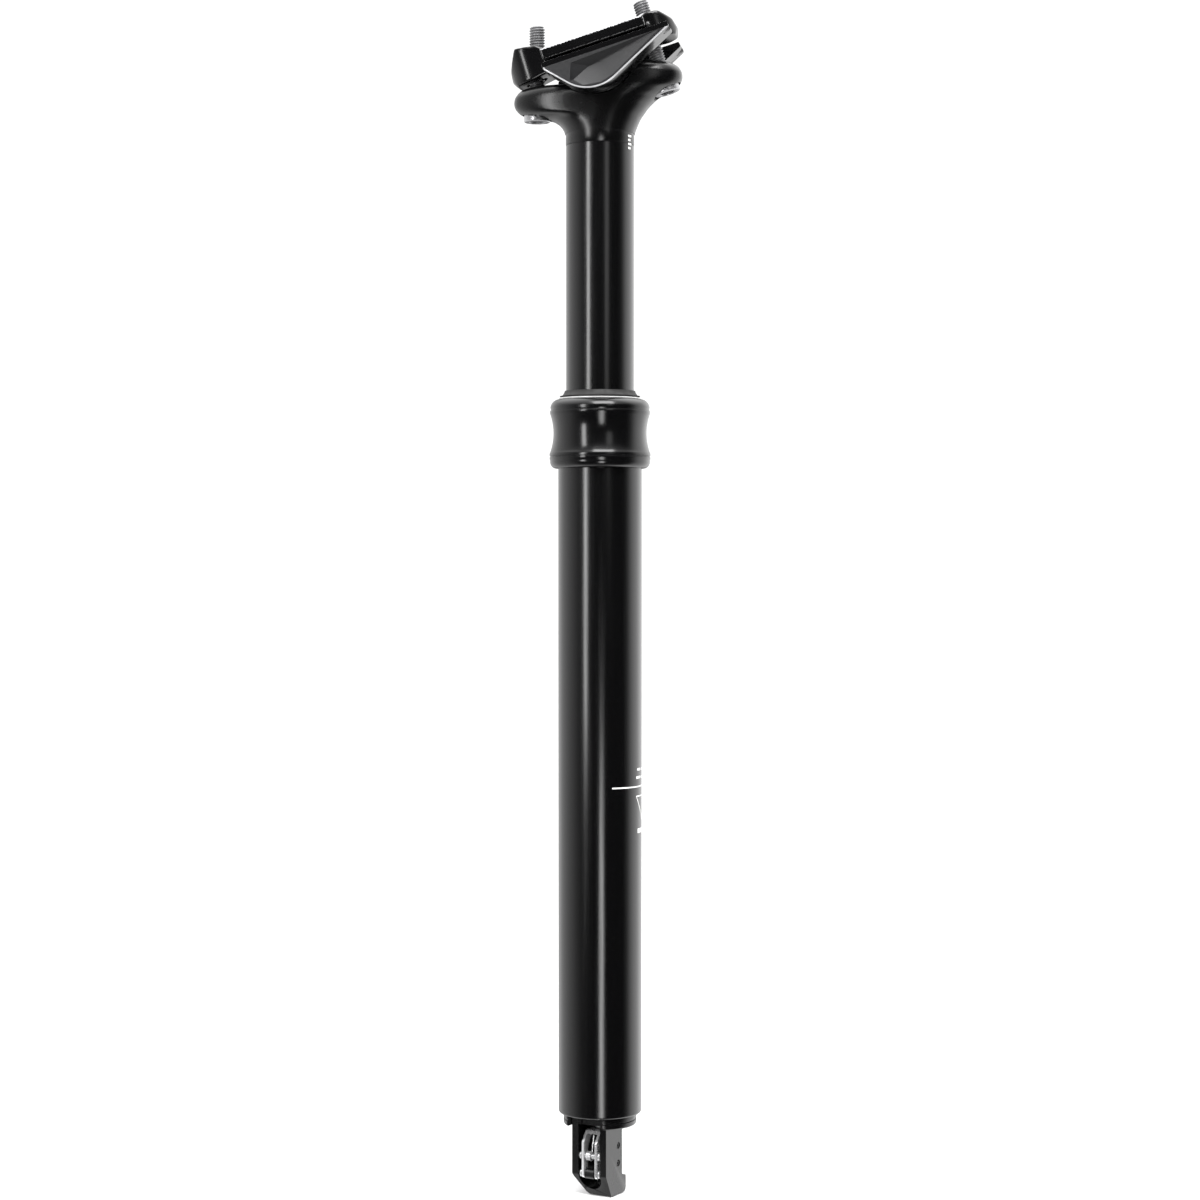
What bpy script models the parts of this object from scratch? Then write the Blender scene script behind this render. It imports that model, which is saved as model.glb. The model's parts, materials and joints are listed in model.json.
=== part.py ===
"""Height-adjustable bicycle seatpost, 31.6 mm, built piece by piece at full extension.

The origin is on the post's axis where the collar meets the top of the frame's seat tube. +Z points up to the
saddle, +X to the rear of the bicycle and +Y to its drive side. Sizes are in millimetres and MM turns them into metres.
"""

import math

import bmesh
import bpy
from mathutils import Matrix, Vector

MM = 0.001
GAP = 0.3
RING_STEPS = 32
SMALL_STEPS = 16

# Tubes
TUBE_R = 15.8
TUBE_BORE_R = 14.1
TUBE_BOTTOM = -244.6
TUBE_TOP = 12.0
POST_R = 12.8
POST_BORE_R = 11.3
POST_BOTTOM = -90.0
HEAD_JOINT = 122.0
SLEEVE_R = POST_R + GAP
SLEEVE_OUTER_R = TUBE_BORE_R - GAP

# Collar and wiper
COLLAR_TOP = 25.9
COLLAR_LIP_R = 19.1
COLLAR_WAIST_R = 18.0
WIPER_TOP = 28.8

# Keys that run in the tube's keyways
KEY_COUNT = 3
KEY_WIDTH = 3.0
KEY_INNER_R = 12.2
KEY_OUTER_R = 14.7
KEY_BOTTOM = -66.0
KEY_LENGTH = 24.0
KEYWAY_BOTTOM = -170.0
KEYWAY_TOP = -26.0

# Cartridge inside the sliding tube
CARTRIDGE_R = 11.0
CARTRIDGE_BORE_R = 9.8
CARTRIDGE_BOTTOM = -87.0
CARTRIDGE_TOP = 104.0
SEALED_R = CARTRIDGE_BORE_R - GAP
GROOVE_R = 8.2
GROOVE_HEIGHT = 2.4
ROD_R = 5.0
ROD_BORE_R = 2.2
ROD_TENON_R = 3.5
ROD_BOTTOM = -204.0
ROD_TOP = -56.0
PISTON_BOTTOM = -68.0
PISTON_HEIGHT = 10.0
FLOATING_BOTTOM = 36.0
TOWER_TOP = -186.5

# Saddle clamp, measured along and across the rails from the tilt axis
TILT_AXIS_Z = 154.5
RAIL_SLOPE = math.radians(17.0)
SADDLE_R = 15.5
CRADLE_R = SADDLE_R - GAP
RAIL_SPACING = 44.0
RAIL_CHANNEL_R = 3.65
PLATE_INNER_Y = 14.0
PLATE_OUTER_Y = 27.0
SPLIT = 0.35
WING_TOP = 4.7
LUG_HALF_WIDTH = 8.5

# Clamp bolts, M6 by 32 with low heads
BOLT_LENGTH = 36.0
BOLT_SHANK_R = 2.65
BOLT_HEAD_R = 5.0
BOLT_HEAD_HEIGHT = 4.0
BOLT_SEAT = 4.4
FRONT_NUT = (-24.0, 153.4)
FRONT_TIP_ABOVE_NUT = 13.6
REAR_NUT = (18.2, 165.6)
REAR_TIP_ABOVE_NUT = 10.2
NUT_R = 4.3
NUT_BORE_R = NUT_R + GAP
NUT_HOLE_R = 3.15
WASHER_R = 5.2
WASHER_HOLE_R = 2.95
WASHER_HEIGHT = 2.0
BOLT_SLOT_R = 3.8
LUG_SLOT_R = 4.3

# Foot: flange, cage and release lever
FLANGE_R = 13.9
FLANGE_TOP = TUBE_BOTTOM - GAP
FLANGE_BOTTOM = -249.0
CAGE_TURN = math.radians(-22.0)
CAGE_HALF_WIDTH = 7.45
CAGE_FRONT = 8.3
CAGE_BACK = -3.9
CAGE_TOP = FLANGE_BOTTOM - GAP
CAGE_BOTTOM = -275.5
WINDOW_HALF_WIDTH = 4.8
PIVOT_Z = -260.4
PIN_SPACING = 6.7
PIN_Y = -6.6
PIN_OUT = 6.6
LEVER_GAP_HALF = 2.3
LEVER_PLATE = 1.0

LOOKS = {
    "black_anodised": ((0.012, 0.012, 0.013), 0.28, 0.6),
    "black_gloss": ((0.010, 0.010, 0.011), 0.14, 0.5),
    "steel": ((0.62, 0.62, 0.60), 0.25, 1.0),
    "silver": ((0.80, 0.80, 0.80), 0.20, 1.0),
    "rubber": ((0.015, 0.015, 0.015), 0.70, 0.0),
    "brass": ((0.65, 0.47, 0.20), 0.30, 1.0),
    "polymer": ((0.07, 0.08, 0.07), 0.50, 0.0),
    "aluminium": ((0.55, 0.56, 0.57), 0.35, 1.0),
}


def clear_scene():
    for old in list(bpy.data.objects):
        bpy.data.objects.remove(old, do_unlink=True)


def collection(name):
    made = bpy.data.collections.new(name)
    bpy.context.scene.collection.children.link(made)
    return made


def look(name):
    found = bpy.data.materials.get(name)
    if found:
        return found
    colour, roughness, metallic = LOOKS[name]
    made = bpy.data.materials.new(name)
    made.use_nodes = True
    shader = made.node_tree.nodes["Principled BSDF"]
    shader.inputs["Base Color"].default_value = (*colour, 1.0)
    shader.inputs["Roughness"].default_value = roughness
    shader.inputs["Metallic"].default_value = metallic
    return made


def own_look(obj, name):
    """Gives an object a material of its own, copied from a shared look."""
    made = look(name).copy()
    made.name = obj.name + "_" + name
    obj.data.materials.clear()
    obj.data.materials.append(made)


def add(name, mesh, place):
    obj = bpy.data.objects.new(name, mesh)
    if place is not None:
        obj.matrix_world = place
    PARTS.objects.link(obj)
    return obj


def as_cutter(obj):
    PARTS.objects.unlink(obj)
    CUTTERS.objects.link(obj)
    obj.hide_render = True
    obj.display_type = "WIRE"
    return obj


def turned(name, outline, place=None, steps=RING_STEPS):
    """A profile of (radius, height) points, down the outer side, turned about the object's own Z."""
    mesh = bpy.data.meshes.new(name)
    points = [(r * MM, 0.0, z * MM) for r, z in outline]
    edges = [(i, i + 1) for i in range(len(points) - 1)]
    if outline[0][0] > 0:
        edges.append((len(points) - 1, 0))
    mesh.from_pydata(points, edges, [])
    obj = add(name, mesh, place)
    screw = obj.modifiers.new("Turn", "SCREW")
    screw.steps = steps
    screw.render_steps = steps
    screw.use_merge_vertices = True
    screw.merge_threshold = 0.00001
    screw.use_smooth_shade = True
    return obj


def ring(name, inner, outer, bottom, top, place=None, steps=RING_STEPS):
    return turned(name, [(outer, top), (outer, bottom), (inner, bottom), (inner, top)], place, steps)


def rod(name, radius, bottom, top, place=None, steps=SMALL_STEPS):
    return turned(name, [(0, top), (radius, top), (radius, bottom), (0, bottom)], place, steps)


def block(name, low, high, place=None):
    """A box between two corners of the object's own frame."""
    bm = bmesh.new()
    size = [(b - a) * MM for a, b in zip(low, high)]
    middle = [(a + b) / 2 * MM for a, b in zip(low, high)]
    bmesh.ops.create_cube(bm, size=1.0, matrix=Matrix.Translation(middle) @ Matrix.Diagonal((*size, 1.0)))
    mesh = bpy.data.meshes.new(name)
    bm.to_mesh(mesh)
    bm.free()
    return add(name, mesh, place)


def slab(name, outline, low, high, place=None):
    """A flat outline of (x, y) points in the object's own frame, filled from height low to height high."""
    curve = bpy.data.curves.new(name, "CURVE")
    curve.dimensions = "2D"
    curve.fill_mode = "BOTH"
    curve.extrude = (high - low) / 2 * MM
    spline = curve.splines.new("POLY")
    spline.points.add(len(outline) - 1)
    for point, (x, y) in zip(spline.points, outline):
        point.co = (x * MM, y * MM, 0.0, 1.0)
    spline.use_cyclic_u = True
    drawn = bpy.data.objects.new(name + "_outline", curve)
    PARTS.objects.link(drawn)
    bpy.context.view_layer.update()
    mesh = bpy.data.meshes.new_from_object(drawn.evaluated_get(bpy.context.evaluated_depsgraph_get()))
    bpy.data.objects.remove(drawn, do_unlink=True)
    bm = bmesh.new()
    bm.from_mesh(mesh)
    bmesh.ops.remove_doubles(bm, verts=bm.verts, dist=0.000001)
    bmesh.ops.translate(bm, verts=bm.verts, vec=(0, 0, (low + high) / 2 * MM))
    bmesh.ops.recalc_face_normals(bm, faces=bm.faces)
    bm.to_mesh(mesh)
    bm.free()
    mesh.name = name
    return add(name, mesh, place)


def boolean(obj, other, operation):
    modifier = obj.modifiers.new(operation.title() + " " + other.name, "BOOLEAN")
    modifier.operation = operation
    modifier.solver = "EXACT"
    modifier.object = as_cutter(other)
    return obj


def cut(obj, other):
    return boolean(obj, other, "DIFFERENCE")


def join(obj, other):
    return boolean(obj, other, "UNION")


def keep_common(obj, other):
    return boolean(obj, other, "INTERSECT")


def bevel(obj, width, segments=2, angle=40.0):
    modifier = obj.modifiers.new("Edges", "BEVEL")
    modifier.width = width * MM
    modifier.segments = segments
    modifier.limit_method = "ANGLE"
    modifier.angle_limit = math.radians(angle)
    return obj


def arc(centre_x, centre_y, radius, start, end, count):
    """Points on a round stretch, from one angle to another in degrees."""
    angles = [math.radians(start + (end - start) * i / (count - 1)) for i in range(count)]
    return [(centre_x + radius * math.cos(a), centre_y + radius * math.sin(a)) for a in angles]


def finished(obj, name_of_look):
    own_look(obj, name_of_look)
    return obj


# Places: each turns and moves an object's own frame into the post's frame.

# Own x, y and z become the post's x, z and -y, so that an outline drawn in x and y stands upright.
UPRIGHT = Matrix.Rotation(math.radians(90), 4, "X")
# The rails' frame: x along the rails to the rear, z square to them, with its origin on the tilt axis.
RAILS = Matrix.Translation((0, 0, TILT_AXIS_Z * MM)) @ Matrix.Rotation(-RAIL_SLOPE, 4, "Y")
# The cage's frame: -y out of the window, x out of the flat side.
CAGE = Matrix.Rotation(CAGE_TURN, 4, "Z")
ACROSS = Matrix.Rotation(math.radians(90), 4, "X")
ALONG = Matrix.Rotation(math.radians(90), 4, "Y")


def make_outer_tube():
    tube = ring("outer_tube", TUBE_BORE_R, TUBE_R, TUBE_BOTTOM, TUBE_TOP)
    for i in range(KEY_COUNT):
        turn = Matrix.Rotation(2 * math.pi * i / KEY_COUNT, 4, "Z")
        half = KEY_WIDTH / 2 + GAP
        cut(tube, block(f"keyway_{i}", (12.0, -half, KEYWAY_BOTTOM), (KEY_OUTER_R + GAP, half, KEYWAY_TOP), turn))
    finished(tube, "black_anodised")


def collar_outline():
    top = arc(16.6, 24.0, 2.1, 75, 10, 4)
    upper_lip = [(18.9, 22.6), (18.9, 20.0)]
    waist = [(18.3, 16.5), (COLLAR_WAIST_R, 12.5), (18.3, 9.0), (COLLAR_LIP_R, 5.4)]
    lower_lip = [(COLLAR_LIP_R, 3.4), (18.6, 1.4), (17.6, 0.0)]
    bore = [(TUBE_R + GAP, 0.0), (TUBE_R + GAP, 12.4), (SLEEVE_R + 0.2, 12.4), (SLEEVE_R + 0.2, 14.0)]
    seat = [(14.9, 14.0), (14.9, COLLAR_TOP)]
    return [(15.4, COLLAR_TOP)] + top + upper_lip + waist + lower_lip + bore + seat


def make_collar():
    finished(turned("collar", collar_outline()), "black_gloss")
    finished(ring("collar_ring", 14.8, 15.4, 26.1, 26.6), "silver")
    lip = [(SLEEVE_R, WIPER_TOP), (13.6, WIPER_TOP), (15.2, 26.9), (14.5, 26.9), (14.5, 14.3), (SLEEVE_R, 14.3)]
    finished(turned("wiper", lip), "rubber")
    finished(ring("stanchion_seal", SLEEVE_R, SLEEVE_OUTER_R, 7.0, 10.0), "rubber")
    finished(ring("upper_bushing", SLEEVE_R, SLEEVE_OUTER_R, -24.0, 6.0), "polymer")


def make_stanchion():
    post = ring("stanchion", POST_BORE_R, POST_R, POST_BOTTOM, HEAD_JOINT - GAP)
    half = KEY_WIDTH / 2 + GAP
    low, high = KEY_BOTTOM - GAP, KEY_BOTTOM + KEY_LENGTH + GAP
    for i in range(KEY_COUNT):
        turn = Matrix.Rotation(2 * math.pi * i / KEY_COUNT, 4, "Z")
        cut(post, block(f"key_seat_{i}", (KEY_INNER_R - GAP, -half, low), (14.0, half, high), turn))
        key = block(
            f"key_{i + 1}",
            (KEY_INNER_R, -KEY_WIDTH / 2, KEY_BOTTOM),
            (KEY_OUTER_R, KEY_WIDTH / 2, KEY_BOTTOM + KEY_LENGTH),
            turn,
        )
        finished(key, "brass")
    finished(post, "black_anodised")
    finished(ring("slide_bushing", SLEEVE_R, SLEEVE_OUTER_R, POST_BOTTOM, -72.0), "polymer")


def grooved(name, bottom, height, inner):
    """A sealed piece that fills the cartridge's bore, with a groove round its middle."""
    low = bottom + (height - GROOVE_HEIGHT) / 2
    high = low + GROOVE_HEIGHT
    outer = [(SEALED_R, bottom + height), (SEALED_R, high), (GROOVE_R, high), (GROOVE_R, low), (SEALED_R, low)]
    outline = outer + [(SEALED_R, bottom)]
    if inner > 0:
        return turned(name, outline + [(inner, bottom), (inner, bottom + height)])
    return turned(name, [(0, bottom + height)] + outline + [(0, bottom)])


def seal(name, bottom, height):
    low = bottom + (height - GROOVE_HEIGHT) / 2 + GAP
    finished(ring(name, GROOVE_R + GAP, SEALED_R + 0.1, low, low + GROOVE_HEIGHT - 2 * GAP), "rubber")


def make_cartridge():
    finished(ring("cartridge_tube", CARTRIDGE_BORE_R, CARTRIDGE_R, CARTRIDGE_BOTTOM, CARTRIDGE_TOP), "aluminium")
    gland_bottom, gland_height = -86.0, 12.6
    gland = grooved("cartridge_gland", gland_bottom, gland_height, ROD_R + GAP)
    flange = ring("gland_flange", ROD_R + GAP, CARTRIDGE_R, -90.3, CARTRIDGE_BOTTOM - GAP)
    neck = ring("gland_neck", ROD_R + GAP, SEALED_R - 1.0, -89.0, gland_bottom + 1.0)
    join(join(gland, neck), flange)
    finished(gland, "aluminium")
    seal("gland_seal", gland_bottom, gland_height)
    bumper_top = PISTON_BOTTOM - GAP
    finished(ring("top_out_bumper", ROD_R + GAP, 9.0, gland_bottom + gland_height + GAP, bumper_top), "rubber")
    finished(grooved("main_piston", PISTON_BOTTOM, PISTON_HEIGHT, ROD_TENON_R + GAP), "aluminium")
    seal("piston_seal", PISTON_BOTTOM, PISTON_HEIGHT)
    finished(grooved("floating_piston", FLOATING_BOTTOM, PISTON_HEIGHT, 0), "aluminium")
    seal("floating_seal", FLOATING_BOTTOM, PISTON_HEIGHT)


def make_rod():
    shoulder = PISTON_BOTTOM - GAP
    outer = [(ROD_TENON_R, ROD_TOP), (ROD_TENON_R, shoulder), (ROD_R, shoulder), (ROD_R, ROD_BOTTOM)]
    finished(turned("piston_rod", outer + [(ROD_BORE_R, ROD_BOTTOM), (ROD_BORE_R, ROD_TOP)]), "steel")
    finished(ring("bottom_out_bumper", ROD_R + GAP, 10.0, TOWER_TOP + GAP, -180.6), "rubber")
    finished(rod("push_rod", ROD_BORE_R - GAP, -250.5, -60.0), "steel")


def head_side_outline():
    """The head from its side: two flares from the neck out to the ears, whose line climbs to the rear."""
    front_flare = arc(-22.6, 125.0, 9.7, 0, 72, 6)
    front_ear = arc(-26.7, 139.1, 4.5, 240, 100, 6)
    rear_ear = arc(26.9, 148.15, 4.5, 80, -70, 6)
    rear_flare = arc(27.0, 130.0, 14.1, 118, 180, 6)
    return [(12.7, 123.1), (-12.7, 123.1)] + front_flare + front_ear + rear_ear + rear_flare


def head_plan_outline():
    front = arc(-22.8, 0, 8.5, 115, 245, 8)
    rear = arc(22.9, 0, 8.5, -65, 65, 8)
    return [(12.0, 12.4), (-12.0, 12.4)] + front + [(-12.0, -12.4), (12.0, -12.4)] + rear


def bolt_place(nut, tip_above_nut, slope):
    """Own z runs up the bolt, and own origin is where its washer bears on the head's ear."""
    up = Vector((-math.sin(slope), 0.0, math.cos(slope)))
    tip = Vector((nut[0], 0.0, nut[1])) + tip_above_nut * up
    bearing = tip - (BOLT_LENGTH - BOLT_SEAT) * up
    return Matrix.Translation(bearing * MM) @ Matrix.Rotation(-slope, 4, "Y")


FRONT_BOLT = bolt_place(FRONT_NUT, FRONT_TIP_ABOVE_NUT, 0.0)
REAR_BOLT = bolt_place(REAR_NUT, REAR_TIP_ABOVE_NUT, RAIL_SLOPE)


def make_head():
    head = slab("head", head_side_outline(), -12.4, 12.4, UPRIGHT)
    keep_common(head, slab("head_plan", head_plan_outline(), 120.0, 160.0))
    goblet = [(0, 160), (40, 160), (40, 137.5), (24, 134.0), (16.5, 130.5), (13.6, 127.0), (12.6, 124.0)]
    keep_common(head, turned("head_goblet", goblet + [(12.6, 121.0), (0, 121.0)]))
    bore_r = 4.3
    neck = [(12.9, 136.0), (12.9, HEAD_JOINT), (11.0, HEAD_JOINT), (11.0, 108.0)]
    join(head, turned("head_neck", [(0, 136.0)] + neck + [(0, 108.0)], steps=64))
    cut(head, rod("saddle_cut", SADDLE_R, -20, 20, Matrix.Translation((0, 0, TILT_AXIS_Z * MM)) @ ACROSS, 64))
    cut(head, rod("valve_bore", bore_r, 100.0, 150.0))
    for end, place in (("front", FRONT_BOLT), ("rear", REAR_BOLT)):
        cut(head, rod(end + "_bolt_slot", BOLT_SLOT_R, -1.0, 20.0, place))
        cut(head, rod(end + "_counterbore", WASHER_R + 0.5, -12.0, WASHER_HEIGHT + GAP, place))
    finished(head, "black_gloss")


def make_valve():
    finished(ring("valve_body", 2.2, 4.0, 110.0, 132.0, steps=SMALL_STEPS), "brass")
    finished(rod("valve_core", 1.9, 114.0, 130.0), "brass")
    finished(rod("valve_cap", 3.9, 132.4, 136.8), "black_anodised")


def plate_outline():
    """The cradle's side plate along the rails: a round belly, a short front flank and a long slant to the rear tip."""
    belly = arc(-1.0, 0.0, 15.2, 225, 295, 9)
    return [(29.7, -SPLIT), (-19.3, -SPLIT), (-19.2, -3.0)] + belly + [(29.7, -2.5)]


def pocket_outline():
    return [(-8.2, -4.4), (-10.0, -9.8), (-6.0, -12.4), (0.5, -13.4), (4.6, -12.4), (23.5, -3.6)]


def make_cradle():
    stand = RAILS @ UPRIGHT
    cradle = slab("cradle", plate_outline(), -PLATE_OUTER_Y, PLATE_OUTER_Y, stand)
    gap_between = slab("plate_gap", [(-40, -30), (40, -30), (40, 5), (-40, 5)], -PLATE_INNER_Y, PLATE_INNER_Y, stand)
    cut(cradle, gap_between)
    belly = arc(0.0, 0.0, CRADLE_R, 200, 340, 17)
    join(cradle, slab("cradle_belly", belly, -PLATE_INNER_Y - 1.0, PLATE_INNER_Y + 1.0, stand))
    cut(cradle, block("cradle_tray", (-10.0, -11.5, -10.0), (10.0, 11.5, 10.0), RAILS))
    for side in (-1, 1):
        rail = Matrix.Translation((0, side * RAIL_SPACING / 2 * MM, 0)) @ ALONG
        cut(cradle, rod(f"cradle_channel_{side}", RAIL_CHANNEL_R, -50.0, 50.0, RAILS @ rail, 24))
        inner, outer = sorted((side * (PLATE_OUTER_Y - 2.4), side * (PLATE_OUTER_Y + 2.0)))
        cut(cradle, slab(f"pocket_{side}", pocket_outline(), -outer, -inner, stand))
    finished(cradle, "black_gloss")


def make_clamp():
    stand = RAILS @ UPRIGHT
    wings = [(21.8, 27), (-18.6, 27), (-18.6, -27), (21.8, -27)]
    clamp = slab("clamp", wings, SPLIT, WING_TOP, RAILS)
    cut(clamp, block("clamp_window", (-11.0, -17.2, -1.0), (13.5, 17.2, 10.0), RAILS))
    front = [(-29.0, 12.4), (-21.0, 10.8), (-16.0, WING_TOP), (-14.0, SPLIT), (-27.0, -0.6), (-32.8, -0.2)]
    join(clamp, slab("front_lug", front + [(-33.6, 2.7)], -LUG_HALF_WIDTH, LUG_HALF_WIDTH, stand))
    rear = [(16.0, WING_TOP), (20.5, 11.0), (27.5, 10.0), (30.6, 5.5), (31.0, 1.0), (29.3, -0.5), (16.0, SPLIT)]
    join(clamp, slab("rear_lug", rear, -LUG_HALF_WIDTH, LUG_HALF_WIDTH, stand))
    for side in (-1, 1):
        rail = Matrix.Translation((0, side * RAIL_SPACING / 2 * MM, 0)) @ ALONG
        cut(clamp, rod(f"clamp_channel_{side}", RAIL_CHANNEL_R, -50.0, 50.0, RAILS @ rail, 24))
    for end, nut, place in (("front", FRONT_NUT, FRONT_BOLT), ("rear", REAR_NUT, REAR_BOLT)):
        across = Matrix.Translation((nut[0] * MM, 0, nut[1] * MM)) @ ACROSS
        cut(clamp, rod(end + "_nut_bore", NUT_BORE_R, -20.0, LUG_HALF_WIDTH - 1.5, across))
        cut(clamp, rod(end + "_lug_slot", LUG_SLOT_R, 4.0, 60.0, place))
    finished(clamp, "black_gloss")


def make_bolt(end, place, nut):
    outline = [(0, 0), (BOLT_SHANK_R - 0.6, 0), (BOLT_SHANK_R, -0.6)]
    top = BOLT_LENGTH - BOLT_SEAT
    outline = [(r, top + z) for r, z in outline]
    under_head = -BOLT_SEAT + BOLT_HEAD_HEIGHT
    outline += [(BOLT_SHANK_R, under_head), (BOLT_HEAD_R, under_head), (BOLT_HEAD_R, -BOLT_SEAT + 0.5)]
    outline += [(BOLT_HEAD_R - 0.5, -BOLT_SEAT), (0, -BOLT_SEAT)]
    bolt = turned(end + "_bolt", outline, place, SMALL_STEPS)
    cut(bolt, rod(end + "_socket", 2.9, -BOLT_SEAT - 1.0, -BOLT_SEAT + 2.4, place, 6))
    finished(bolt, "steel")
    washer = [(WASHER_HOLE_R, WASHER_HEIGHT), (4.3, WASHER_HEIGHT), (WASHER_R, 1.0), (WASHER_R, -0.1)]
    finished(turned(end + "_washer", washer + [(WASHER_HOLE_R, -0.1)], place, SMALL_STEPS), "steel")
    across = Matrix.Translation((nut[0] * MM, 0, nut[1] * MM)) @ ACROSS
    barrel = rod(end + "_nut", NUT_R, -LUG_HALF_WIDTH + 0.2, LUG_HALF_WIDTH - 1.5 - GAP, across)
    cut(barrel, rod(end + "_nut_hole", NUT_HOLE_R, 0.0, 60.0, place))
    finished(barrel, "steel")


def make_foot_cap():
    inner = TUBE_BORE_R - GAP
    outer = [(10.0, TOWER_TOP), (10.0, -225.0), (inner, -229.0), (inner, TUBE_BOTTOM), (FLANGE_R, FLANGE_TOP)]
    seat = [(FLANGE_R, FLANGE_BOTTOM), (2.5, FLANGE_BOTTOM), (2.5, ROD_BOTTOM - GAP)]
    cap = turned("foot_cap", outer + seat + [(ROD_R + GAP, ROD_BOTTOM - GAP), (ROD_R + GAP, TOWER_TOP)])
    notch = (-CAGE_HALF_WIDTH - GAP, -20.0, FLANGE_BOTTOM - 1.0)
    cut(cap, block("flange_notch", notch, (CAGE_HALF_WIDTH + GAP, -5.2, TUBE_BOTTOM + 0.2), CAGE))
    groove_bottom = -241.0
    cut(cap, ring("foot_groove", 12.4, 15.0, groove_bottom, groove_bottom + 2.4))
    finished(cap, "black_anodised")
    finished(ring("foot_seal", 12.7, 13.9, groove_bottom + GAP, groove_bottom + 2.1), "rubber")


def cage_side_outline():
    """The cage seen square to its flat side: the front slants back at the bottom and a lip stands out behind."""
    front = [(CAGE_FRONT, CAGE_TOP), (CAGE_FRONT, -266.5), (4.2, CAGE_BOTTOM)]
    back = [(-5.2, CAGE_BOTTOM + 0.6), (-6.8, -273.5), (-6.8, -269.5), (CAGE_BACK, -267.8), (CAGE_BACK, CAGE_TOP)]
    return front + back


def make_cage():
    side_on = CAGE @ Matrix.Rotation(math.radians(-90), 4, "Z") @ UPRIGHT
    width = CAGE_HALF_WIDTH
    cage = slab("actuator_cage", cage_side_outline(), -width, width, side_on)
    front = [(width, -248.0), (-width, -248.0), (-width, -267.5), (-width + 1.2, -271.2), (-3.6, -277.0), (width, -277.0)]
    keep_common(cage, slab("cage_front", front, -20.0, 20.0, CAGE @ UPRIGHT))
    for side in (-1, 1):
        low, high = sorted((side * (WINDOW_HALF_WIDTH + 0.1), side * width))
        join(cage, block(f"cage_post_{side}", (low, -CAGE_FRONT, -256.0), (high, -5.6, -245.2), CAGE))
    window = [(WINDOW_HALF_WIDTH, -240.0), (-WINDOW_HALF_WIDTH, -240.0)]
    window += arc(0.0, -268.4, WINDOW_HALF_WIDTH, 180, 360, 9)
    cut(cage, slab("cage_window", window, -2.2, 20.0, CAGE @ UPRIGHT))
    cut(cage, rod("pivot_hole", 1.3, -PIN_OUT - GAP, PIN_OUT + GAP, lever_pin(PIVOT_Z), 12))
    for name, height in (("upper", -257.0), ("lower", -263.7)):
        side = CAGE @ Matrix.Translation((0, 1.0 * MM, height * MM)) @ ALONG
        cut(cage, rod(f"screw_hole_{name}", 1.3, 5.1, 9.0, side, 12))
        screw = rod("cage_screw_" + name, 1.0, 5.4, 7.2, side, 12)
        cut(screw, rod("screw_socket_" + name, 0.55, 6.4, 8.0, side, 6))
        finished(screw, "black_anodised")
    finished(cage, "black_anodised")


def lever_pin(height):
    """The place of a cross pin of the lever: own z runs along the pin."""
    return CAGE @ Matrix.Translation((0, PIN_Y * MM, height * MM)) @ ALONG


def make_lever():
    side_on = CAGE @ Matrix.Rotation(math.radians(-90), 4, "Z") @ UPRIGHT
    plate = [(8.1, -268.9), (8.1, -255.4), (4.9, -250.9), (-1.0, -250.9), (-1.0, -252.2), (4.6, -256.8), (4.6, -268.9)]
    outer = LEVER_GAP_HALF + LEVER_PLATE
    lever = slab("release_lever", plate, -outer, outer, side_on)
    inside = block("fork_gap", (-LEVER_GAP_HALF, -12.0, -275.0), (LEVER_GAP_HALF, 0.0, -252.2), CAGE)
    cut(lever, inside)
    for i, name in enumerate(("pivot_eye", "barrel_eye")):
        cut(lever, rod(name, 1.3, -5.0, 5.0, lever_pin(PIVOT_Z - i * PIN_SPACING), 12))
    finished(lever, "steel")

    pivot = rod("lever_pivot", 1.0, -PIN_OUT, PIN_OUT, lever_pin(PIVOT_Z), 12)
    for side in (-1, 1):
        low, high = sorted((side * (outer + GAP), side * (outer + 1.2)))
        join(pivot, rod(f"pivot_head_{side}", 1.6, low, high, lever_pin(PIVOT_Z), 12))
    finished(pivot, "silver")

    finished(ring("return_spring", 1.3, 1.9, -1.7, 0.4, lever_pin(PIVOT_Z), 12), "silver")
    low_pin = lever_pin(PIVOT_Z - PIN_SPACING)
    finished(ring("cable_barrel", 1.3, 2.0, -LEVER_GAP_HALF + GAP, LEVER_GAP_HALF - GAP, low_pin, 12), "black_anodised")
    barrel_pin = rod("barrel_pin", 1.0, -outer - 1.0, outer + 1.0, low_pin, 12)
    for side in (-1, 1):
        low, high = sorted((side * (outer + GAP), side * (outer + 1.1)))
        join(barrel_pin, rod(f"barrel_head_{side}", 1.5, low, high, low_pin, 12))
    finished(barrel_pin, "silver")


clear_scene()
PARTS = collection("seatpost")
CUTTERS = collection("cutters")
CUTTERS.hide_render = True
make_outer_tube()
make_collar()
make_stanchion()
make_cartridge()
make_rod()
make_head()
make_valve()
make_cradle()
make_clamp()
make_bolt("front", FRONT_BOLT, FRONT_NUT)
make_bolt("rear", REAR_BOLT, REAR_NUT)
make_foot_cap()
make_cage()
make_lever()
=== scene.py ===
"""The looks of the height-adjustable seatpost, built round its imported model.

Sizes are in millimetres unless they say otherwise.
"""

import json
import math

import bmesh
import bpy
from mathutils import Matrix, Vector


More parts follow.
